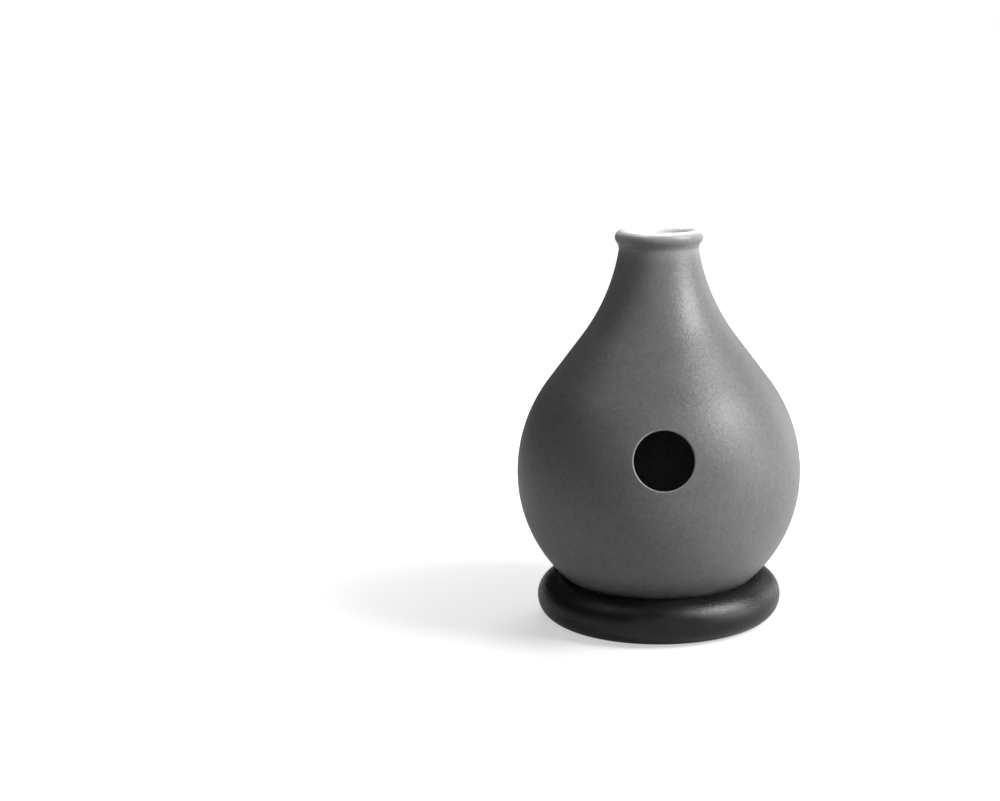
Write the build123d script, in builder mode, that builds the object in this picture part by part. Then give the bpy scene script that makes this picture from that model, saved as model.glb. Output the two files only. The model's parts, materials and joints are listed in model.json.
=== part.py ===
"""Udu drum: a hollow fired-clay vessel that stands in a moulded rubber ring.

Frame: origin on the floor under the vessel's axis, +Z up, tone hole towards -Y.
Lengths are in millimetres and angles in degrees.
"""

import os
from math import acos, atan2, cos, degrees, hypot, radians, sin, sqrt

from build123d import *

# Driving dimensions of the clay vessel
bowl_radius = 125.0            # lower half, a true sphere so that it can lean in the ring
shoulder_radius = 135.0        # curve from the widest level up to the straight shoulder
shoulder_angle = 37.3          # how far that curve turns before it runs straight
neck_curve_radius = 172.0      # hollow curve that draws the shoulder up into the neck
throat_radius = 34.5           # outside of the neck just under the lip
throat_rise = 198.0            # throat above the widest level
lip_rise = 213.6               # top of the lip above the widest level
lip_circle_radius = 31.6       # circle through the middle of the rolled lip
lip_bead_radius = 6.5          # half the thickness of the rolled lip
under_lip_radius = 9.0         # rounded corner where the lip meets the neck
wall = 6.5                     # thickness of bowl and shoulder

# Driving dimensions of the tone hole
tone_hole_radius = 25.1        # bore through the wall
tone_hole_angle = 16.7         # lift of its axis above the widest level
tone_hole_outer_edge = 2.0     # rounding that the fingers feel
tone_hole_inner_edge = 1.5     # softened edge inside

# Driving dimensions of the rubber ring
ring_circle_radius = 89.2      # circle through the middle of the ring's section
ring_section_radius = 19.2     # round section
ring_flat_depth = 0.5          # flat moulded underneath, so that the ring lies still
seat_depth = 1.7               # how far the bowl sinks into the dished seat
seat_clearance = 0.3           # running gap between bowl and seat
seat_edge_radius = 1.0         # rounded rims of the seat

# Places that follow from the driving dimensions
ring_level = ring_section_radius - ring_flat_depth
seat_reach = bowl_radius + ring_section_radius - seat_depth
bowl_level = ring_level + sqrt(seat_reach**2 - ring_circle_radius**2)


def direction(angle):
    """Unit vector of the meridian plane, at an angle from the outward level."""
    return Vector(cos(radians(angle)), sin(radians(angle)))


def bearing(start, end):
    """Angle in degrees of the way from one meridian point to another."""
    return degrees(atan2(end.Y - start.Y, end.X - start.X))


# Meridian of the vessel, as radius and height, with the widest level at bowl_level
widest = Vector(bowl_radius, bowl_level)
shoulder_centre = widest - Vector(shoulder_radius, 0)
shoulder_normal = direction(shoulder_angle)
shoulder_tangent = direction(shoulder_angle + 90)
shoulder_end = shoulder_centre + shoulder_normal * shoulder_radius
throat = Vector(throat_radius, bowl_level + throat_rise)
lip_centre = Vector(lip_circle_radius, bowl_level + lip_rise - lip_bead_radius)

# The neck's arc leaves the straight shoulder on its tangent and passes through the throat
throat_to_arc = shoulder_end + shoulder_normal * neck_curve_radius - throat
along = shoulder_tangent.dot(throat_to_arc)
straight_length = -along - sqrt(along**2 - throat_to_arc.length**2 + neck_curve_radius**2)
straight_end = shoulder_end + shoulder_tangent * straight_length
neck_centre = straight_end + shoulder_normal * neck_curve_radius

# The corner under the lip touches the lip's bead on one side and the neck's arc on the other
lip_to_neck = (neck_centre - lip_centre).length
corner_reach = lip_bead_radius + under_lip_radius
corner_cosine = lip_to_neck**2 + corner_reach**2 - (neck_curve_radius - under_lip_radius) ** 2
corner_cosine = corner_cosine / (2 * lip_to_neck * corner_reach)
lip_start_angle = bearing(lip_centre, neck_centre) - degrees(acos(corner_cosine))
corner_centre = lip_centre + direction(lip_start_angle) * corner_reach
neck_end_angle = bearing(corner_centre, neck_centre)

# The inner neck leaves the inner shoulder on its tangent and runs smoothly onto the lip's bead
inner_straight_end = straight_end - shoulder_normal * wall
to_lip = inner_straight_end - lip_centre
inner_neck_radius = (to_lip.length**2 - lip_bead_radius**2) / (
    -2 * (shoulder_normal.dot(to_lip) + lip_bead_radius)
)
inner_neck_centre = inner_straight_end + shoulder_normal * inner_neck_radius
inner_end_angle = bearing(lip_centre, inner_neck_centre)

with BuildPart() as clay_vessel:
    with BuildSketch(Plane.XZ) as meridian:
        with BuildLine():
            bowl = JernArc((0, bowl_level - bowl_radius), (1, 0), bowl_radius, 90)
            shoulder = JernArc(bowl @ 1, bowl % 1, shoulder_radius, shoulder_angle)
            straight = Line(shoulder @ 1, straight_end)
            neck = JernArc(straight @ 1, straight % 1, neck_curve_radius, neck_end_angle - shoulder_angle)
            under_lip = JernArc(neck @ 1, neck % 1, under_lip_radius, lip_start_angle - neck_end_angle)
            lip_turn = 180 + inner_end_angle - lip_start_angle
            lip = JernArc(under_lip @ 1, under_lip % 1, lip_bead_radius, lip_turn)
            inner_turn = shoulder_angle - inner_end_angle
            inner_neck = JernArc(lip @ 1, lip % 1, inner_neck_radius, inner_turn)
            inner_straight = Line(inner_neck @ 1, shoulder_end - shoulder_normal * wall)
            inner_shoulder = JernArc(
                inner_straight @ 1, inner_straight % 1, shoulder_radius - wall, -shoulder_angle
            )
            inner_bowl = JernArc(inner_shoulder @ 1, inner_shoulder % 1, bowl_radius - wall, -90)
            Line(inner_bowl @ 1, bowl @ 0)
        make_face()
    revolve(axis=Axis.Z)

    # Tone hole, bored along a radius of the bowl from the hollow outwards
    hole_axis = Vector(0, -cos(radians(tone_hole_angle)), sin(radians(tone_hole_angle)))
    with BuildSketch(Plane(origin=(0, 0, bowl_level), x_dir=(1, 0, 0), z_dir=hole_axis)):
        Circle(tone_hole_radius)
    extrude(amount=2 * shoulder_radius, mode=Mode.SUBTRACT)
    bowl_centre = Vector(0, 0, bowl_level)
    rims = clay_vessel.edges(Select.LAST).filter_by(lambda rim: rim.is_closed)
    inner_rim, outer_rim = rims.sort_by(lambda rim: (rim @ 0 - bowl_centre).length)
    fillet(outer_rim, tone_hole_outer_edge)
    fillet(inner_rim, tone_hole_inner_edge)

clay_vessel.part.label = "clay_vessel"

with BuildPart() as rubber_ring:
    with BuildSketch(Plane.XZ) as section:
        with Locations((ring_circle_radius, ring_level)):
            Circle(ring_section_radius)
        with Locations((ring_circle_radius, 0)):
            Rectangle(
                2 * ring_section_radius,
                ring_section_radius,
                align=(Align.CENTER, Align.MAX),
                mode=Mode.SUBTRACT,
            )
        with Locations((0, bowl_level)):
            Circle(bowl_radius + seat_clearance, mode=Mode.SUBTRACT)
        fillet(section.vertices().group_by(Axis.Y)[1:], seat_edge_radius)
    revolve(axis=Axis.Z)

rubber_ring.part.label = "rubber_ring"

os.makedirs("parts", exist_ok=True)
export_step(clay_vessel.part, "parts/clay_vessel.step")
export_step(rubber_ring.part, "parts/rubber_ring.step")
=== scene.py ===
# %% [markdown]
# # An udu drum in its rubber ring
#
# An udu is a clay pot that is played with the hands. Air rings in its belly when a palm closes the round
# hole in its side or the mouth at the end of its neck. This one stands in a black rubber ring, which holds
# the round bowl clear of the floor and lets it lean.
#
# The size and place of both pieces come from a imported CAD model, so the lesson starts by loading that
# model. The two CAD solids carry the motion. The lesson covers each of them with a finer surface and gives
# it its finish.

import json

import bpy
import numpy as np
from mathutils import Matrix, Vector


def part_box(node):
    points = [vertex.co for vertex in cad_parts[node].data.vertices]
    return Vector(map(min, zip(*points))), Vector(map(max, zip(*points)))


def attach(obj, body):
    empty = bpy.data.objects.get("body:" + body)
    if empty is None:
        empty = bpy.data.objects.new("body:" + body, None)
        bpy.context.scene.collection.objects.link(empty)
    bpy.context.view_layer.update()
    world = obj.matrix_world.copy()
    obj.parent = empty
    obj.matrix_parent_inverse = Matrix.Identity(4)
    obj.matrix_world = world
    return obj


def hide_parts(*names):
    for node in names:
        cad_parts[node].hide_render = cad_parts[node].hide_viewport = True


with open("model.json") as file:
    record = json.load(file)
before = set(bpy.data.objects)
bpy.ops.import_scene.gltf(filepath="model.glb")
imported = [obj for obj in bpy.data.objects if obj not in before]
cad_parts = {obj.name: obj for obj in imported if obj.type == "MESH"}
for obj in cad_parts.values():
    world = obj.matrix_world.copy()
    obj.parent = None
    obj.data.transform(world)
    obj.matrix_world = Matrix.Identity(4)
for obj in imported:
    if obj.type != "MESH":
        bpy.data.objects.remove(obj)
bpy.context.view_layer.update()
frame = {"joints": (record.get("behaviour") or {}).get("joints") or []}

# %% [markdown]
# ## Main sizes
#
# Anything that the frame knows is read from it: the bowl's radius is half the width of its box, the bowl's
# centre is where the drum leans, and the ring's box gives its section. The other sizes are those of the
# vessel's outline, in metres. They are few, because a potter's outline is a chain of arcs that run into
# each other.

# %% Sizes from the frame and sizes of the outline
MM = 0.001

vessel_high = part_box("clay_vessel")[1]
ring_low, ring_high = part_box("rubber_ring")
bowl_radius = vessel_high.x
bowl_level = frame["joints"][0]["pos_m"][2]
lip_top = vessel_high.z

shoulder_radius = 135.0 * MM
shoulder_angle = np.radians(37.3)
neck_curve_radius = 172.0 * MM
throat_radius = 34.5 * MM
throat_rise = 198.0 * MM
lip_circle_radius = 31.6 * MM
lip_bead_radius = 6.5 * MM
under_lip_radius = 9.0 * MM
wall = 6.5 * MM

hole_radius = 25.1 * MM
hole_angle = np.radians(16.7)
hole_outer_edge = 1.2 * MM
hole_inner_edge = 1.5 * MM

ring_flat_depth = 0.5 * MM
seat_clearance = 0.3 * MM
seat_edge_radius = 1.0 * MM
ring_section_radius = (ring_high.z - ring_low.z + ring_flat_depth) / 2
ring_circle_radius = ring_high.x - ring_section_radius
ring_level = ring_section_radius - ring_flat_depth
print("bowl radius", bowl_radius, "bowl level", bowl_level, "ring circle", ring_circle_radius)

# %% [markdown]
# ## Arcs for an outline
#
# Both pieces are turned shapes, so each starts as a flat outline of radius and height. It could be drawn
# with a Bezier curve, but then the arcs would only be near the real ones. Here each stretch is an exact
# arc, and the places where two arcs run into each other are worked out with circles.


# %% Outline helpers
def polar(angle):
    """Unit vector at an angle from the outward level: (cosine, sine)."""
    return np.array([np.cos(angle), np.sin(angle)])


def bearing(start, end):
    """Angle of the way from one outline point to another."""
    way = np.asarray(end) - np.asarray(start)
    return np.arctan2(way[1], way[0])


def arc(centre, radius, start, end, steps):
    """Points on a circle from one angle to another: centre + radius * (cosine, sine)."""
    angles = np.linspace(start, end, steps + 1)
    return np.asarray(centre) + radius * np.column_stack([np.cos(angles), np.sin(angles)])


def straight(start, end, steps):
    """Points at even steps on the straight way from one point to another."""
    share = np.linspace(0.0, 1.0, steps + 1)[:, None]
    return np.asarray(start) * (1.0 - share) + np.asarray(end) * share


def circles_cross(centre_a, radius_a, centre_b, radius_b):
    """The two points where two circles cross, by the law of cosines: first the one left of the way a to b."""
    gap = np.linalg.norm(np.asarray(centre_b) - np.asarray(centre_a))
    lean = np.arccos((gap**2 + radius_a**2 - radius_b**2) / (2.0 * gap * radius_a))
    way = bearing(centre_a, centre_b)
    return [np.asarray(centre_a) + radius_a * polar(way + side * lean) for side in (1.0, -1.0)]


def chain(stretches):
    """One outline from several stretches, where each stretch starts at the end of the one before it."""
    return np.vstack([stretches[0]] + [stretch[1:] for stretch in stretches[1:]])


# %% [markdown]
# ## The vessel's outline
#
# The outline goes up the outside, over the rolled lip and down the inside, so that the wall has its real
# thickness and the lip is one smooth roll. The neck's arc is tangent to the straight shoulder and passes
# through the throat. Inside, the neck's arc is tangent to the inner shoulder and to the lip, with no step
# for the eye to catch.

# %% Outline of the vessel
shoulder_normal = polar(shoulder_angle)
shoulder_way = polar(shoulder_angle + np.pi / 2)
bowl_centre = np.array([0.0, bowl_level])
shoulder_centre = np.array([bowl_radius - shoulder_radius, bowl_level])
shoulder_end = shoulder_centre + shoulder_radius * shoulder_normal
throat = np.array([throat_radius, bowl_level + throat_rise])
lip_centre = np.array([lip_circle_radius, lip_top - lip_bead_radius])

to_arc = shoulder_end + shoulder_normal * neck_curve_radius - throat
along = shoulder_way @ to_arc
straight_length = -along - np.sqrt(along**2 - to_arc @ to_arc + neck_curve_radius**2)
straight_end = shoulder_end + shoulder_way * straight_length
neck_centre = straight_end + shoulder_normal * neck_curve_radius

lip_to_corner = lip_bead_radius + under_lip_radius
neck_to_corner = neck_curve_radius - under_lip_radius
corner_centre = circles_cross(lip_centre, lip_to_corner, neck_centre, neck_to_corner)[1]
neck_end = bearing(corner_centre, neck_centre)
lip_start = bearing(lip_centre, corner_centre)

inner_straight_end = straight_end - shoulder_normal * wall
to_lip = inner_straight_end - lip_centre
lip_lean = shoulder_normal @ to_lip + lip_bead_radius
inner_neck_radius = (to_lip @ to_lip - lip_bead_radius**2) / (-2.0 * lip_lean)
inner_neck_centre = inner_straight_end + shoulder_normal * inner_neck_radius
inner_end = bearing(lip_centre, inner_neck_centre)

bowl_steps = 76
shoulder_steps = 40
straight_steps = 18
neck_steps = 36
corner_steps = 8
lip_steps = 40
inner_neck_steps = 24
inner_straight_steps = 8
inner_bowl_steps = 40
vessel_stretches = [
    arc(bowl_centre, bowl_radius, -np.pi / 2, 0.0, bowl_steps),
    arc(shoulder_centre, shoulder_radius, 0.0, shoulder_angle, shoulder_steps),
    straight(shoulder_end, straight_end, straight_steps),
    arc(neck_centre, neck_curve_radius, np.pi + shoulder_angle, np.pi + neck_end, neck_steps),
    arc(corner_centre, under_lip_radius, np.pi + neck_end, np.pi + lip_start, corner_steps),
    arc(lip_centre, lip_bead_radius, lip_start, np.pi + inner_end, lip_steps),
    arc(inner_neck_centre, inner_neck_radius, np.pi + inner_end, np.pi + shoulder_angle, inner_neck_steps),
    straight(inner_straight_end, shoulder_end - shoulder_normal * wall, inner_straight_steps),
    arc(shoulder_centre, shoulder_radius - wall, shoulder_angle, 0.0, shoulder_steps),
    arc(bowl_centre, bowl_radius - wall, 0.0, -np.pi / 2, inner_bowl_steps),
]
vessel_outline = chain(vessel_stretches)
start_rows = np.cumsum([0] + [len(stretch) - 1 for stretch in vessel_stretches])
shoulder_row = start_rows[1]
lip_row = start_rows[5]
inner_neck_row = start_rows[6]
inner_bowl_row = start_rows[9]
print("vessel outline:", len(vessel_outline), "points, straight shoulder", straight_length, "m")

# %% [markdown]
# ## Turning an outline
#
# A turned surface has two parameters: the row, along the outline, and the column, around the axis. Column 0
# looks at the tone hole, towards -Y. All points come out of one array product, with no loop over vertices.


# %% Turned surfaces and meshes
def full_turn(steps):
    """Angles at even steps once round, without the last one, which is the first again."""
    return np.linspace(0.0, 2.0 * np.pi, steps, endpoint=False)


def turned(outline, columns):
    """Grid of points: outline radius times (sine, -cosine) of the column's angle, at the outline's height."""
    angles = full_turn(columns)
    radius, height = outline[:, :1], outline[:, 1:]
    return np.stack(
        [radius * np.sin(angles), -radius * np.cos(angles), height + 0.0 * angles], axis=-1
    )


def grid_quads(rows, columns, close_rows=False):
    """Corner numbers of the quads of a grid that closes round the axis, facing left of the outline."""
    last = rows if close_rows else rows - 1
    row, column = np.meshgrid(np.arange(last), np.arange(columns), indexing="ij")
    above, beside = (row + 1) % rows, (column + 1) % columns
    corners = [
        row * columns + column,
        row * columns + beside,
        above * columns + beside,
        above * columns + column,
    ]
    return np.stack(corners, axis=-1)


def make_piece(name, points, faces):
    """A smooth-shaded mesh object at the origin, from an array of points and lists of corner numbers."""
    mesh = bpy.data.meshes.new(name)
    mesh.from_pydata(points, [], faces)
    mesh.validate()
    mesh.shade_smooth()
    piece = bpy.data.objects.new(name, mesh)
    bpy.context.scene.collection.objects.link(piece)
    print(name, "has", len(mesh.vertices), "points and", len(mesh.polygons), "faces")
    return piece


def add_values(piece, name, values):
    """Stores one number per point on the mesh, for its material to read."""
    layer = piece.data.attributes.new(name, "FLOAT", "POINT")
    layer.data.foreach_set("value", np.asarray(values, np.float32))


# %% [markdown]
# ## The tone hole
#
# The hole is bored along a radius of the bowl and its edge is rounded, so that a palm seals on it. A
# Boolean with a cylinder could cut it, and Bevel could round it, but that leaves long thin faces that shade
# badly. Here a small window is left open in the outer and the inner grid, and a tube of rings joins the two
# windows: over the outside to the edge, round the edge, through the wall, round the inner edge and over the
# inside.
#
# The edge is the shape that a ball leaves when it rolls round the hole, touching the bore and the wall. The
# ball's centre is a point that lies the ball's radius from both of them.

# %% Points on and in the wall around the hole
hole_axis = np.array([0.0, -np.cos(hole_angle), np.sin(hole_angle)])
hole_right = np.array([1.0, 0.0, 0.0])
hole_up = np.cross(hole_axis, hole_right)
shoulder_offset = shoulder_centre[0]
newton_steps = 8


def wall_point(turn, lift, depth):
    """Point of the shoulder: its turn from -Y, its lift along the outline's arc, its depth under the skin."""
    reach = shoulder_radius - depth
    radius = shoulder_offset + reach * np.cos(lift)
    height = bowl_level + reach * np.sin(lift)
    return np.stack([radius * np.sin(turn), -radius * np.cos(turn), height], axis=-1)


def wall_place(points):
    """Turn and lift of points of the shoulder, which is wall_point the other way round."""
    radius = np.hypot(points[..., 0], points[..., 1])
    turn = np.arctan2(points[..., 0], -points[..., 1])
    return turn, np.arctan2(points[..., 2] - bowl_level, radius - shoulder_offset)


def wall_normal(points):
    """Outward unit normal of the shoulder at points on it or under its skin."""
    turn, lift = wall_place(points)
    return np.stack([np.cos(lift) * np.sin(turn), -np.cos(lift) * np.cos(turn), np.sin(lift)], axis=-1)


def above_hole(spoke, reach, depth):
    """Points of the wall at a depth under the skin, at a distance from the hole's axis along each spoke.

    A point slides along the hole's axis, by Newton's steps, until its depth under the skin is right.
    """
    foot = np.array([0.0, 0.0, bowl_level]) + reach * spoke
    height = np.full(len(spoke), bowl_radius)
    for _ in range(newton_steps):
        points = foot + height[:, None] * hole_axis
        radius = np.hypot(points[:, 0], points[:, 1])
        miss = np.hypot(radius - shoulder_offset, points[:, 2] - bowl_level) - (shoulder_radius - depth)
        height = height - miss / (wall_normal(points) @ hole_axis)
    return foot + height[:, None] * hole_axis


def rolled(centres, first, last, radius, steps):
    """Rings on a ball of that radius at each centre, turning from the first direction to the last."""
    angle = np.arccos(np.sum(first * last, axis=1))[:, None]
    share = np.linspace(0.0, 1.0, steps + 1)[:, None, None]
    blend = (np.sin((1.0 - share) * angle) * first + np.sin(share * angle) * last) / np.sin(angle)
    return centres + radius * blend


# %% The vessel's grid with a window left open on each side of the wall
columns = 288
window_half_columns = 14
window_low_row = 3
window_high_row = 31

vessel_grid = turned(vessel_outline, columns)
rows = len(vessel_outline)

window_columns = np.arange(-window_half_columns, window_half_columns + 1)
window_rows = np.arange(window_low_row, window_high_row + 1)


def window_border(row_numbers):
    """Grid numbers once round a window: along its foot, up its right, back over its top, down its left."""
    foot = np.stack([np.full(len(window_columns), row_numbers[0]), window_columns], axis=1)
    right = np.stack([row_numbers, np.full(len(row_numbers), window_columns[-1])], axis=1)
    top = np.stack([np.full(len(window_columns), row_numbers[-1]), window_columns[::-1]], axis=1)
    left = np.stack([row_numbers[::-1], np.full(len(row_numbers), window_columns[0])], axis=1)
    border = np.concatenate([foot[:-1], right[:-1], top[:-1], left[:-1]])
    return border[:, 0] * columns + border[:, 1] % columns


outer_border = window_border(shoulder_row + window_rows)
inner_border = window_border(inner_bowl_row - window_rows)

quads = grid_quads(rows, columns)
quad_row, quad_column = np.meshgrid(np.arange(rows - 1), np.arange(columns), indexing="ij")
across = (quad_column + window_half_columns) % columns < 2 * window_half_columns
in_outer = (quad_row >= shoulder_row + window_low_row) & (quad_row < shoulder_row + window_high_row)
in_inner = (quad_row >= inner_bowl_row - window_high_row) & (quad_row < inner_bowl_row - window_low_row)
in_window = across & (in_outer | in_inner)
print("window border has", len(outer_border), "points")

# %% The rings that line the hole
outer_edge_steps = 8
inner_edge_steps = 5
bore_steps = 2
apron_steps = 9
apron_crowding = 1.35

flat_grid = vessel_grid.reshape(-1, 3)
border_turn, border_lift = wall_place(flat_grid[outer_border])
middle_turn, middle_lift = wall_place(above_hole(hole_right[None, :], 0.0, 0.0))
spoke_angle = np.arctan2(border_lift - middle_lift, border_turn - middle_turn)
spoke = np.cos(spoke_angle)[:, None] * hole_right + np.sin(spoke_angle)[:, None] * hole_up

outer_ball = above_hole(spoke, hole_radius + hole_outer_edge, hole_outer_edge)
inner_ball = above_hole(spoke, hole_radius + hole_inner_edge, wall - hole_inner_edge)
outer_edge = rolled(outer_ball, wall_normal(outer_ball), -spoke, hole_outer_edge, outer_edge_steps)
inner_edge = rolled(inner_ball, -spoke, -wall_normal(inner_ball), hole_inner_edge, inner_edge_steps)


def apron(edge, border, depth, steps):
    """Rings over the wall from the window's border to the edge of the hole, closer together near the edge."""
    edge_turn, edge_lift = wall_place(edge)
    turn, lift = wall_place(flat_grid[border])
    share = np.linspace(1.0, 0.0, steps + 1)[1:-1, None] ** apron_crowding
    return wall_point(edge_turn + (turn - edge_turn) * share, edge_lift + (lift - edge_lift) * share, depth)


bore_share = np.linspace(0.0, 1.0, bore_steps + 1)[1:-1, None, None]
bore = outer_edge[-1] + (inner_edge[0] - outer_edge[-1]) * bore_share
hole_rings = np.concatenate(
    [
        apron(outer_edge[0], outer_border, 0.0, apron_steps),
        outer_edge,
        bore,
        inner_edge,
        apron(inner_edge[-1], inner_border, wall, apron_steps)[::-1],
    ]
)
ring_count, border_count = hole_rings.shape[:2]
print("hole is lined by", ring_count, "rings of", border_count, "points")

# %% [markdown]
# ## One closed mesh for the vessel
#
# The grid, the hole's rings and the two poles at the bottom of the bowl become one mesh. Points that only
# the open windows used are dropped. Each point also carries three numbers for the clay's finish: how far it
# lies past the edge of the pale glaze, measured along the outline, whether it is inside the vessel, and how
# much painted highlight it gets on the rounded edge of the tone hole.

# %% Join the grid, the rings and the poles
ring_numbers = len(flat_grid) + np.arange(ring_count * border_count).reshape(ring_count, border_count)
tube = np.vstack([outer_border, ring_numbers, inner_border])
tube_next = np.roll(tube, -1, axis=1)
tube_quads = np.stack([tube[:-1], tube_next[:-1], tube_next[1:], tube[1:]], axis=-1).reshape(-1, 4)

pole_rows = np.isin(quad_row, (0, rows - 2))
body_quads = quads[~(in_window | pole_rows)]
around = np.arange(columns)
around_next = (around + 1) % columns
low_pole = np.stack([np.zeros(columns, int), columns + around_next, columns + around], axis=1)
top_start = (rows - 2) * columns
top_point = np.full(columns, (rows - 1) * columns)
high_pole = np.stack([top_start + around, top_start + around_next, top_point], axis=1)

all_points = np.concatenate([flat_grid, hole_rings.reshape(-1, 3)])
quad_faces = np.concatenate([body_quads.reshape(-1, 4), tube_quads])
pole_faces = np.concatenate([low_pole, high_pole])
used = np.unique(np.concatenate([quad_faces.ravel(), pole_faces.ravel()]))
new_number = np.zeros(len(all_points), int)
new_number[used] = np.arange(len(used))
vessel_faces = new_number[quad_faces].tolist() + new_number[pole_faces].tolist()
vessel = make_piece("udu_vessel", all_points[used], vessel_faces)

# %% Numbers on the vessel's points for its finish
glaze_line_angle = np.radians(43.0)
glaze_line_dip = 1.7 * MM
inner_glaze_run = 38.0 * MM
steps_along = np.linalg.norm(np.diff(vessel_outline, axis=0), axis=1)
run = np.concatenate([[0.0], np.cumsum(steps_along)])
glaze_start = run[lip_row] + lip_bead_radius * (glaze_line_angle - lip_start)
glaze_end = run[inner_neck_row] + inner_glaze_run
past_outer_line = run[:, None] - (glaze_start + glaze_line_dip * np.sin(full_turn(columns)))
past_glaze_line = np.minimum(past_outer_line, (glaze_end - run)[:, None])
lip_top_run = run[lip_row] + lip_bead_radius * (np.pi / 2 - lip_start)
inside = (run > lip_top_run).astype(float)

edge_start = apron_steps - 1
edge_end = edge_start + len(outer_edge)
ring_glaze = np.full((ring_count, border_count), past_glaze_line.min())
ring_inside = np.zeros((ring_count, border_count))
ring_inside[edge_end:] = 1.0
# Painted highlight: the tone hole's rounded edge is painted pale, most in the middle of its roll, where it
# catches the light
hole_highlight_values = np.zeros((ring_count, border_count))
hole_highlight_values[edge_start:edge_end] = np.sin(np.pi * np.linspace(0.0, 1.0, len(outer_edge)))[:, None]

for name, grid_values, ring_values in (
    ("past_glaze_line", past_glaze_line, ring_glaze),
    ("inside", np.repeat(inside, columns), ring_inside),
    ("hole_edge_highlight", np.zeros(len(flat_grid)), hole_highlight_values),
):
    add_values(vessel, name, np.concatenate([grid_values.ravel(), ring_values.ravel()])[used])
    print("vessel carries", name)

# %% [markdown]
# ## The rubber ring
#
# The ring is a moulding with a round section, flat underneath so that it lies still, and dished on its
# upper inner side where the bowl sits. The dish is part of a ball a little larger than the bowl. Its two
# rims are rounded: the centre of each rounding lies a rounding's radius inside the section and outside the
# dish.

# %% Outline and mesh of the ring
section_centre = np.array([ring_circle_radius, ring_level])
seat_radius = bowl_radius + seat_clearance
rim_reach = ring_section_radius - seat_edge_radius
seat_reach = seat_radius + seat_edge_radius
inner_rim, outer_rim = circles_cross(section_centre, rim_reach, bowl_centre, seat_reach)
flat_angle = np.arcsin(ring_level / ring_section_radius)

flat_outer = section_centre + ring_section_radius * polar(-flat_angle)
flat_inner = section_centre + ring_section_radius * polar(np.pi + flat_angle)
outer_rim_angle = bearing(section_centre, outer_rim)
inner_rim_angle = bearing(section_centre, inner_rim)
seat_start = bearing(bowl_centre, outer_rim)
seat_end = bearing(bowl_centre, inner_rim)
ring_outer_steps = 84
rim_steps = 8
seat_steps = 16
ring_inner_steps = 36
flat_steps = 4
ring_stretches = [
    arc(section_centre, ring_section_radius, -flat_angle, outer_rim_angle, ring_outer_steps),
    arc(outer_rim, seat_edge_radius, outer_rim_angle, seat_start + np.pi, rim_steps),
    arc(bowl_centre, seat_radius, seat_start, seat_end, seat_steps),
    arc(inner_rim, seat_edge_radius, seat_end + np.pi, inner_rim_angle, rim_steps),
    arc(section_centre, ring_section_radius, inner_rim_angle, np.pi + flat_angle, ring_inner_steps),
    straight(flat_inner, flat_outer, flat_steps),
]
ring_outline = chain(ring_stretches)[:-1]
ring_grid = turned(ring_outline, columns)
ring_quads = grid_quads(len(ring_outline), columns, close_rows=True)
ring = make_piece("ring_stand", ring_grid.reshape(-1, 3), ring_quads.reshape(-1, 4).tolist())

# %% [markdown]
# ## Node helpers and shared effects
#
# Two effects serve both finishes, so each is a node group with its own values in each material. The grain
# group makes a fine tooth, a wider mottle and a slow cloudiness, for relief, tone and shine. The specks
# group scatters small spots, which are pores and grit in clay and dust on rubber. Object coordinates are
# metres, so a scale of 1000 is about one blotch per millimetre.

# %% Node helpers
# Places of the colour sockets among all the sockets of a Mix node
MIX_FIRST = 6
MIX_SECOND = 7
MIX_RESULT = 2


def add_node(tree, kind, **settings):
    """Adds a node of a kind to a tree and sets its own settings."""
    node = tree.nodes.new(kind)
    for key, value in settings.items():
        setattr(node, key, value)
    return node


def link(tree, start, end):
    """Joins an output socket to an input socket."""
    tree.links.new(start, end)


def feed(tree, socket, value):
    """Gives an input socket another node's output or a plain value."""
    if isinstance(value, bpy.types.NodeSocket):
        link(tree, value, socket)
    else:
        socket.default_value = value


def math_node(tree, operation, *values, clamp=False):
    """A Math node whose inputs are sockets or plain numbers, and its output socket."""
    node = add_node(tree, "ShaderNodeMath", operation=operation, use_clamp=clamp)
    for socket, value in zip(node.inputs, values):
        feed(tree, socket, value)
    return node.outputs[0]


def times(tree, *values):
    """The product of sockets or plain numbers, one Math node after another, as a socket."""
    product = values[0]
    for value in values[1:]:
        product = math_node(tree, "MULTIPLY", product, value)
    return product


def map_range(tree, value, low, high, to_low=0.0, to_high=1.0, smooth=True):
    """A Map Range node from low..high to to_low..to_high, with soft ends, and its output socket."""
    kind = "SMOOTHSTEP" if smooth else "LINEAR"
    node = add_node(tree, "ShaderNodeMapRange", interpolation_type=kind, clamp=True)
    link(tree, value, node.inputs["Value"])
    node.inputs["From Min"].default_value = low
    node.inputs["From Max"].default_value = high
    node.inputs["To Min"].default_value = to_low
    node.inputs["To Max"].default_value = to_high
    return node.outputs["Result"]


def mix_colour(tree, share, first, second):
    """A colour Mix node whose ends are sockets or plain greys, and its output socket."""
    node = add_node(tree, "ShaderNodeMix", data_type="RGBA")
    link(tree, share, node.inputs["Factor"])
    for number, value in ((MIX_FIRST, first), (MIX_SECOND, second)):
        grey = isinstance(value, float)
        feed(tree, node.inputs[number], (value, value, value, 1.0) if grey else value)
    return node.outputs[MIX_RESULT]


def new_group(name, inputs, outputs):
    """An empty shader node group: a vector called Place, floats in by name and default, and floats out."""
    group = bpy.data.node_groups.new(name, "ShaderNodeTree")
    group.interface.new_socket("Place", in_out="INPUT", socket_type="NodeSocketVector")
    for label, value in inputs.items():
        socket = group.interface.new_socket(label, in_out="INPUT", socket_type="NodeSocketFloat")
        socket.default_value = value
    for label in outputs:
        group.interface.new_socket(label, in_out="OUTPUT", socket_type="NodeSocketFloat")
    start = group.nodes.new("NodeGroupInput")
    end = group.nodes.new("NodeGroupOutput")
    return group, start.outputs, end.inputs


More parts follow.
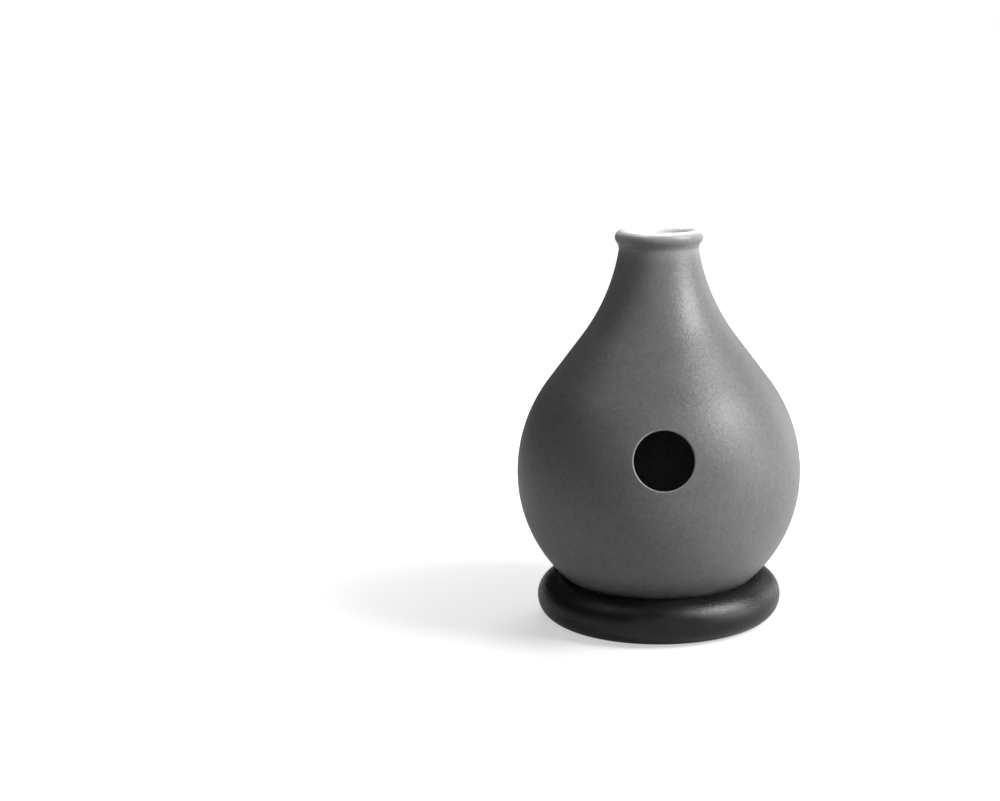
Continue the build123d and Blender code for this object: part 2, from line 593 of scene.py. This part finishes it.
def use_group(tree, group, place, **values):
    """Places a group in a material with its own values; underscores in a name stand for spaces."""
    node = add_node(tree, "ShaderNodeGroup", node_tree=group)
    link(tree, place, node.inputs["Place"])
    for label, value in values.items():
        node.inputs[label.replace("_", " ")].default_value = value
    return node.outputs


def noise(tree, place, scale, detail=2.0, roughness=0.5):
    """A Noise Texture on a place, with its scale as a number or a socket, and its value socket."""
    node = add_node(tree, "ShaderNodeTexNoise")
    link(tree, place, node.inputs["Vector"])
    feed(tree, node.inputs["Scale"], scale)
    node.inputs["Detail"].default_value = detail
    node.inputs["Roughness"].default_value = roughness
    return node.outputs["Fac"]


# %% Grain group: fine tooth, mottle and slow cloudiness
grain_scales = {"Tooth Scale": 1200.0, "Mottle Scale": 300.0, "Cloud Scale": 20.0}
grain_group, grain_in, grain_out = new_group("grain", grain_scales, ["Tooth", "Mottle", "Cloud"])
for label, octaves, harshness in (("Tooth", 2.0, 0.6), ("Mottle", 3.0, 0.6), ("Cloud", 4.0, 0.55)):
    blotches = noise(grain_group, grain_in["Place"], grain_in[label + " Scale"], octaves, harshness)
    link(grain_group, blotches, grain_out[label])
print("grain group has", len(grain_group.nodes), "nodes")

# %% Specks group: small round spots, few or many
speck_sharpness = 12.0
speck_values = {"Scale": 250.0, "Size": 0.2, "Share": 0.3}
specks_group, specks_in, specks_out = new_group("specks", speck_values, ["Specks"])
cells = add_node(specks_group, "ShaderNodeTexVoronoi", feature="F1")
link(specks_group, specks_in["Place"], cells.inputs["Vector"])
link(specks_group, specks_in["Scale"], cells.inputs["Scale"])
pick = add_node(specks_group, "ShaderNodeSeparateColor")
link(specks_group, cells.outputs["Color"], pick.inputs["Color"])
chosen = math_node(specks_group, "LESS_THAN", pick.outputs["Red"], specks_in["Share"])
spread = times(specks_group, specks_in["Size"], pick.outputs["Green"])
near = math_node(specks_group, "SUBTRACT", spread, cells.outputs["Distance"])
soft = math_node(specks_group, "MULTIPLY", near, speck_sharpness, clamp=True)
link(specks_group, times(specks_group, soft, chosen), specks_out["Specks"])
print("specks group has", len(specks_group.nodes), "nodes")


# %% Material helpers
def new_material(name):
    """A material with only a Principled BSDF, and its tree, shader and Object coordinates."""
    material = bpy.data.materials.new(name)
    material.use_nodes = True
    tree = material.node_tree
    shader = tree.nodes["Principled BSDF"]
    place = add_node(tree, "ShaderNodeTexCoord").outputs["Object"]
    return material, tree, shader, place


def axes(tree, place):
    """The X, Y and Z sockets of a place."""
    node = add_node(tree, "ShaderNodeSeparateXYZ")
    link(tree, place, node.inputs["Vector"])
    return node.outputs


def point_value(tree, name):
    """The socket of a number that the mesh carries on each point."""
    return add_node(tree, "ShaderNodeAttribute", attribute_name=name).outputs["Fac"]


def stretched(tree, place, scale):
    """Coordinates scaled by a different amount on each axis."""
    node = add_node(tree, "ShaderNodeMapping", vector_type="POINT")
    link(tree, place, node.inputs["Vector"])
    node.inputs["Scale"].default_value = scale
    return node.outputs["Vector"]


def bump(tree, height, depth, under=None):
    """A Bump node of full strength, over another Bump's normal where there is one, and its Normal socket."""
    node = add_node(tree, "ShaderNodeBump")
    node.inputs["Strength"].default_value = 1.0
    node.inputs["Distance"].default_value = depth
    link(tree, height, node.inputs["Height"])
    if under is not None:
        link(tree, under, node.inputs["Normal"])
    return node.outputs["Normal"]


# %% [markdown]
# ## Grey clay with a pale glazed lip
#
# The outside is clay with a grey slip, rubbed while it dried: a little cloudy, with a fine tooth and faint
# level lines from the rubbing. The tooth shows most in the shine, because its tips are rubbed smoother than
# its pits, so it changes the gloss as well as the tone. Dry clay scatters light back evenly, so the Diffuse
# Roughness is high: the far edges stay light, as on the moon. Inside, the clay was left as it was thrown.
#
# The clay is paler up the neck. In the hollow just under the lip, where the lip shades the neck, painted
# light makes it paler still. The rounded edge of the tone hole carries a painted highlight, and a blotchy
# painted shade darkens the bowl where it rests in the ring, in place of the shadow in the crevice.
#
# A pale glaze covers the top of the lip and runs a little way down inside the neck. Its edge was drawn by a
# brush on the wheel, so it follows the outline, dips a little on one side and wavers by a fraction of a
# millimetre. Below the edge, painted light fades down the front of the lip from pale to the clay's grey, as
# light from above falls on the roll. The edge is read from the number on each point, because then it
# follows the lip in every pose and view.

# %% Greys, shares and heights of the clay's finish
cloud_band = (0.3, 0.7)

slip_greys = (0.153, 0.169)
upper_neck_greys = (0.184, 0.207)
upper_neck_heights = (0.235, 0.310)
mottle_grey = 0.22
mottle_band = (0.30, 0.80)
mottle_share = 0.50
pit_grey = 0.06
pit_band = (0.62, 0.34)
pit_share = 0.08
pore_share = 0.45
inside_greys = (0.14, 0.19)

# Painted light: a pale grey for the hollow under the lip and for the highlight on the tone hole's edge
painted_light_grey = 0.34
hole_highlight_share = 0.85
# Painted light in the hollow under the lip, where the lip shades the neck
under_lip_light_share = 0.55
under_lip_light_power = 1.3
under_lip_light_heights = (0.3145, 0.3275)
under_lip_light_end_heights = (0.3270, 0.3303)

# Painted shade: a blotchy dark band on the bowl just above where it rests in the ring, for the crevice's
# shadow
foot_shade_grey = 0.03
foot_shade_scale = 60.0
foot_shade_band = (0.30, 0.70)
foot_shade_shares = (0.30, 0.72)
foot_shade_low_heights = (0.024, 0.034)
foot_shade_fade_heights = (0.036, 0.058)

glaze_greys = (0.86, 0.91)
glaze_waver = 0.8 * MM
glaze_waver_scale = 160.0
noise_middle = 0.5
glaze_soft_edge = (-0.3 * MM, 0.4 * MM)
# Painted light: below the glaze's edge the front of the lip is paler towards the top, where light from above
# falls
lip_front_light_run = 8.0 * MM
lip_front_light_power = 2.0
lip_front_light_share = 0.66
print("greys of the slip", slip_greys, "of the upper neck", upper_neck_greys, "and of the glaze", glaze_greys)

# %% Colour of the clay
clay, tree, shader, place = new_material("grey_clay_and_pale_lip")
grain = use_group(tree, grain_group, place, Tooth_Scale=480.0, Mottle_Scale=170.0, Cloud_Scale=22.0)
pores = use_group(tree, specks_group, place, Scale=330.0, Size=0.22, Share=0.10)["Specks"]
height = axes(tree, place)["Z"]

slip = mix_colour(tree, map_range(tree, grain["Cloud"], *cloud_band), *slip_greys)
upper_neck_tone = mix_colour(tree, grain["Cloud"], *upper_neck_greys)
neck_slip = mix_colour(tree, map_range(tree, height, *upper_neck_heights), slip, upper_neck_tone)
mottle = map_range(tree, grain["Mottle"], *mottle_band, 0.0, mottle_share)
mottled = mix_colour(tree, mottle, neck_slip, mottle_grey)
pits = map_range(tree, grain["Tooth"], *pit_band, 0.0, pit_share)
pitted = mix_colour(tree, pits, mottled, pit_grey)
pored = mix_colour(tree, times(tree, pores, pore_share), pitted, pit_grey)

# Painted light under the lip, strongest just below the lip's roll, where the shade is
under_lip_light_rise = map_range(tree, height, *under_lip_light_heights, smooth=False)
under_lip_light_end = map_range(tree, height, *under_lip_light_end_heights, under_lip_light_share, 0.0)
under_lip_light_value = times(tree, math_node(tree, "POWER", under_lip_light_rise, under_lip_light_power), under_lip_light_end)
under_lip_lit = mix_colour(tree, under_lip_light_value, pored, painted_light_grey)
# Painted highlight on the tone hole's rounded edge
hole_highlighted = mix_colour(tree, times(tree, point_value(tree, "hole_edge_highlight"), hole_highlight_share), under_lip_lit, painted_light_grey)

# Painted shade on the bowl where it rests in the ring, broken into blotches
foot_shade_rise = map_range(tree, height, *foot_shade_low_heights)
foot_shade_fade = map_range(tree, height, *foot_shade_fade_heights, 1.0, 0.0)
foot_shade_blotches = noise(tree, place, foot_shade_scale, detail=4.0, roughness=0.6)
foot_shade_share = map_range(tree, foot_shade_blotches, *foot_shade_band, *foot_shade_shares)
foot_shaded = mix_colour(tree, times(tree, foot_shade_rise, foot_shade_fade, foot_shade_share), hole_highlighted, foot_shade_grey)
thrown = mix_colour(tree, grain["Mottle"], *inside_greys)
raw_clay = mix_colour(tree, point_value(tree, "inside"), foot_shaded, thrown)
print("clay's colour has", len(tree.nodes), "nodes")

# %% The glaze over the clay
waver_noise = math_node(tree, "SUBTRACT", noise(tree, place, glaze_waver_scale), noise_middle)
waver = times(tree, waver_noise, glaze_waver)
glaze_edge = math_node(tree, "ADD", point_value(tree, "past_glaze_line"), waver)
glazed = map_range(tree, glaze_edge, *glaze_soft_edge)
# Painted light down the front of the lip, fading from the glaze's edge to the grey clay
lip_front_light_fade = map_range(tree, glaze_edge, -lip_front_light_run, 0.0, smooth=False)
lip_front_lit = times(tree, math_node(tree, "POWER", lip_front_light_fade, lip_front_light_power), lip_front_light_share)
glaze_or_lip_front_lit = math_node(tree, "MAXIMUM", glazed, lip_front_lit)
glaze_white = mix_colour(tree, grain["Cloud"], *glaze_greys)
link(tree, mix_colour(tree, glaze_or_lip_front_lit, raw_clay, glaze_white), shader.inputs["Base Color"])
print("with the glaze it has", len(tree.nodes))

# %% Shine and relief of the clay
clay_cloud_roughness = (0.38, 0.45)
clay_tooth_roughness = 0.10
glaze_smoothing = -0.22
glint_band = (0.36, 0.64)
glint_levels = (0.40, 0.60)
line_stretch = (6.0, 6.0, 700.0)
line_depth = 0.03 * MM
clay_mottle_depth = 0.19 * MM
sand_scale = 540.0
sand_depth = 0.16 * MM

bare = math_node(tree, "SUBTRACT", 1.0, glazed)
cloud_roughness = map_range(tree, grain["Cloud"], *cloud_band, *clay_cloud_roughness)
tooth_roughness = times(tree, grain["Tooth"], clay_tooth_roughness)
clay_roughness = math_node(tree, "ADD", cloud_roughness, tooth_roughness)
smoothed = math_node(tree, "ADD", clay_roughness, times(tree, glazed, glaze_smoothing))
link(tree, smoothed, shader.inputs["Roughness"])
link(tree, bare, shader.inputs["Diffuse Roughness"])
glint = map_range(tree, grain["Tooth"], *glint_band, *glint_levels)
link(tree, glint, shader.inputs["Specular IOR Level"])

line_place = stretched(tree, place, line_stretch)
lines = noise(tree, line_place, scale=1.0, detail=3.0, roughness=0.6)
sand = noise(tree, place, sand_scale, detail=1.0, roughness=0.5)
line_bump = bump(tree, times(tree, lines, bare), line_depth)
mottle_bump = bump(tree, times(tree, grain["Mottle"], bare), clay_mottle_depth, line_bump)
sand_bump = bump(tree, times(tree, sand, bare), sand_depth, mottle_bump)
link(tree, sand_bump, shader.inputs["Normal"])
print("clay has", len(tree.nodes), "nodes")

# %% [markdown]
# ## Black rubber
#
# Moulded rubber is nearly black with a satin skin. Its shine is not even: it is a little duller in clouds
# where it was handled, faint streaks run round it from wiping, and single specks of dust catch the light.
# The streaks are a noise on coordinates that change slowly round the ring and fast across its section.

# %% Colour and relief of the rubber
black_greys = (0.007, 0.011)
dust_grey = 0.12
dust_share = 0.35
rubber_gloss = 0.38
rubber_mottle_depth = 0.15 * MM
rubber_tooth_depth = 0.24 * MM

rubber, tree, shader, place = new_material("satin_black_rubber")
grain = use_group(tree, grain_group, place, Tooth_Scale=1300.0, Mottle_Scale=260.0, Cloud_Scale=38.0)
dust = use_group(tree, specks_group, place, Scale=130.0, Size=0.09, Share=0.22)["Specks"]
black = mix_colour(tree, map_range(tree, grain["Cloud"], *cloud_band), *black_greys)
dusty = mix_colour(tree, times(tree, dust, dust_share), black, dust_grey)
link(tree, dusty, shader.inputs["Base Color"])
shader.inputs["Specular IOR Level"].default_value = rubber_gloss
mottle_bump = bump(tree, grain["Mottle"], rubber_mottle_depth)
tooth_bump = bump(tree, grain["Tooth"], rubber_tooth_depth, mottle_bump)
link(tree, tooth_bump, shader.inputs["Normal"])
print("rubber's colour and relief have", len(tree.nodes), "nodes")

# %% Shine of the rubber, with streaks round the ring
streak_stretch = (5.0, 5.0, 12.0)
streak_band = (0.35, 0.65)
streak_roughness = 0.055
satin_roughness = (0.24, 0.285)
dust_roughness = 0.2

along_axis = axes(tree, place)
squares = [times(tree, along_axis[name], along_axis[name]) for name in "XY"]
ring_reach = math_node(tree, "SQRT", math_node(tree, "ADD", *squares))
from_circle = math_node(tree, "SUBTRACT", ring_reach, ring_circle_radius)
from_level = math_node(tree, "SUBTRACT", along_axis["Z"], ring_level)
round_ring = add_node(tree, "ShaderNodeCombineXYZ")
for name in "XY":
    link(tree, math_node(tree, "DIVIDE", along_axis[name], ring_reach), round_ring.inputs[name])
link(tree, math_node(tree, "ARCTAN2", from_level, from_circle), round_ring.inputs["Z"])

streak_place = stretched(tree, round_ring.outputs["Vector"], streak_stretch)
streaks = noise(tree, streak_place, scale=1.0, detail=4.0, roughness=0.65)
satin = map_range(tree, grain["Cloud"], *cloud_band, *satin_roughness)
wiped = math_node(tree, "ADD", satin, map_range(tree, streaks, *streak_band, 0.0, streak_roughness))
dulled = math_node(tree, "ADD", wiped, times(tree, dust, dust_roughness))
link(tree, dulled, shader.inputs["Roughness"])
print("rubber has", len(tree.nodes), "nodes")

# %% [markdown]
# ## Put the pieces on their bodies
#
# The vessel leans with the drum's body and the ring stays with the stand. Each piece stands for its CAD
# solid, which then isn't drawn but still carries the collision and the mass.

# %% Ride on the CAD bodies
for piece, material, body, node, slot in (
    (vessel, clay, "drum", "clay_vessel", "grey_clay"),
    (ring, rubber, "stand", "rubber_ring", "black_rubber"),
):
    piece.data.materials.append(material)
    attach(piece, body)
    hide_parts(node)
    print(piece.name, "rides on", body, "and stands for", node)

# %% [markdown]
# ## Floor and surroundings
#
# The drum stands on a plain white floor that runs off into white. The floor is a wide disc of matt paint, a
# hair under the ring so that the two faces don't fight. To the camera it also glows, by half near the drum
# and fully further out, so that it reaches white without more light on the drum, and the drum keeps its
# shadow. The world is white to the camera too, but it gives hardly any light. In a gloss both show dimly,
# as in a studio where dark screens stand around a satin object.


# %% Floor and world
def seen_share(tree, gloss_share):
    """1 for rays from the camera or through glass, a share for rays off a gloss, 0 for light on the drum."""
    rays = add_node(tree, "ShaderNodeLightPath").outputs
    straight_on = math_node(tree, "MAXIMUM", rays["Is Camera Ray"], rays["Is Transmission Ray"])
    in_gloss = times(tree, rays["Is Glossy Ray"], gloss_share)
    return math_node(tree, "MAXIMUM", straight_on, in_gloss)


WHITE = (1.0, 1.0, 1.0, 1.0)
floor_radius = 9.0
floor_level = -0.2 * MM
floor_sides = 128
floor_paint = (0.46, 0.46, 0.46, 1.0)
floor_roughness = 0.9
floor_gloss = 0.1
floor_glow_distances = (0.10, 0.65)
floor_glow_shares = (0.54, 1.0)
floor_in_gloss = 0.20
world_in_gloss = 0.03
room_light = 0.03

angles = full_turn(floor_sides)
floor_points = np.column_stack(
    [floor_radius * np.cos(angles), floor_radius * np.sin(angles), np.full(floor_sides, floor_level)]
)
floor = make_piece("floor", floor_points, [list(range(floor_sides))])

floor_white, tree, paint, place = new_material("white_floor")
paint.inputs["Base Color"].default_value = floor_paint
paint.inputs["Roughness"].default_value = floor_roughness
paint.inputs["Specular IOR Level"].default_value = floor_gloss
paint.inputs["Emission Color"].default_value = WHITE
distance = add_node(tree, "ShaderNodeVectorMath", operation="LENGTH")
link(tree, place, distance.inputs[0])
floor_glow = map_range(tree, distance.outputs["Value"], *floor_glow_distances, *floor_glow_shares)
seen_glow = times(tree, seen_share(tree, floor_in_gloss), floor_glow)
link(tree, seen_glow, paint.inputs["Emission Strength"])
floor.data.materials.append(floor_white)

world = bpy.data.worlds.new("studio")
world.use_nodes = True
bpy.context.scene.world = world
tree = world.node_tree
surround = tree.nodes["Background"]
surround.inputs["Color"].default_value = WHITE
world_light = math_node(tree, "MAXIMUM", seen_share(tree, world_in_gloss), room_light)
link(tree, world_light, surround.inputs["Strength"])
print("floor and world have", len(floor_white.node_tree.nodes), "and", len(tree.nodes), "nodes")

# %% [markdown]
# ## Lamps
#
# The light is that of a plain studio. A large soft lamp stands high to the right and draws the long soft
# shine down the right of the neck, the belly and the ring. Two low ones under it reach in below the belly,
# and two weak ones behind brighten the right edge. Weak fills in front and on the left keep the dark side
# readable, and one high at the back makes the lip's glaze white. The left gets little, so that the belly
# turns from light to dark.

# %% Lamps
lamp_distance = 1.6
lamp_size = 0.7
drum_middle = Vector((0.0, 0.0, 0.17))


def soft_lamp(name, azimuth, elevation, power):
    """A square area lamp at a bearing from -Y towards +X, turned towards the middle of the drum."""
    lamp = bpy.data.lights.new(name, "AREA")
    lamp.shape = "SQUARE"
    lamp.size = lamp_size
    lamp.energy = power
    holder = bpy.data.objects.new(name, lamp)
    bpy.context.scene.collection.objects.link(holder)
    turn, lift = np.radians(azimuth), np.radians(elevation)
    back = Vector((np.sin(turn) * np.cos(lift), -np.cos(turn) * np.cos(lift), np.sin(lift)))
    holder.location = drum_middle + lamp_distance * back
    holder.rotation_euler = back.to_track_quat("Z", "Y").to_euler()
    holder.visible_camera = False
    print(name, "gives", power, "watts")


soft_lamp("key_right", azimuth=70.0, elevation=37.0, power=38.0)
soft_lamp("low_right", azimuth=70.0, elevation=5.0, power=6.9)
soft_lamp("low_side", azimuth=90.0, elevation=5.0, power=4.9)
soft_lamp("rim_back_right", azimuth=130.0, elevation=5.0, power=3.3)
soft_lamp("rim_back", azimuth=150.0, elevation=20.0, power=1.0)
soft_lamp("fill_front", azimuth=0.0, elevation=12.0, power=1.8)
soft_lamp("fill_left", azimuth=-70.0, elevation=55.0, power=2.4)
soft_lamp("fill_back", azimuth=180.0, elevation=52.0, power=16.0)

# %% [markdown]
# ## Camera
#
# The camera stands in front of the tone hole, a little to its left, and looks down on the drum by about 11
# degrees with a long lens. The drum stands right of the picture's middle with no sideways perspective, so
# the lens is shifted and not turned.

# %% Camera
sensor_width = 36.0
picture_width = 1000.0
drum_axis_pixel = 658.8
focal_pixels = 1793.1
camera_distance = 1.550
camera_height = 0.4887
camera_turn = np.radians(-2.18)
camera_pitch = np.radians(10.80)

lens = bpy.data.cameras.new("camera")
lens.sensor_fit = "HORIZONTAL"
lens.sensor_width = sensor_width
lens.lens = sensor_width * focal_pixels / picture_width
lens.shift_x = (picture_width / 2 - drum_axis_pixel) / picture_width
camera = bpy.data.objects.new("camera", lens)
bpy.context.scene.collection.objects.link(camera)
camera.location = (
    camera_distance * np.sin(camera_turn),
    -camera_distance * np.cos(camera_turn),
    camera_height,
)
camera.rotation_euler = (np.pi / 2 - camera_pitch, 0.0, camera_turn)
bpy.context.scene.camera = camera
bpy.context.scene.view_settings.view_transform = "Standard"
print("camera at", list(camera.location), "with a lens of", lens.lens, "mm")
